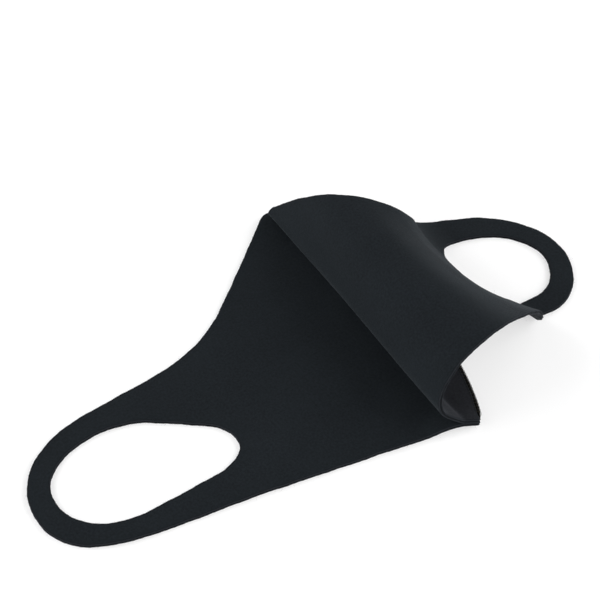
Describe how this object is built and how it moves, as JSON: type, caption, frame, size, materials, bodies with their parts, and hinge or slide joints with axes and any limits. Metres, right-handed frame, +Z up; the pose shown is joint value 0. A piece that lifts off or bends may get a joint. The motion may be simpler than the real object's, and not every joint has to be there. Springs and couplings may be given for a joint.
{
  "type": "cloth face mask with ear loops",
  "caption": "Soft cloth face mask cut in two halves with ear loops in one piece, joined by a centre seam, lying half opened with one half folded over.",
  "frame": {"origin": "on the surface it lies on, under the middle of its bounding box", "axes": "+Z up from the surface; +X along the mask's length, towards the ear loop of the folded half; +Y away from the chin side"},
  "size_m": [0.2096, 0.162, 0.0345],
  "materials": {
    "mask_knit": "fine matt charcoal-black knit, laminated, with a faint cool sheen",
    "seam_bond": "black bonded seam bead, slightly denser than the knit"
  },
  "bodies": {
    "root": {"left_panel": "mask_knit", "right_panel": "mask_knit", "centre_seam": "seam_bond"}
  },
  "joints": []
}
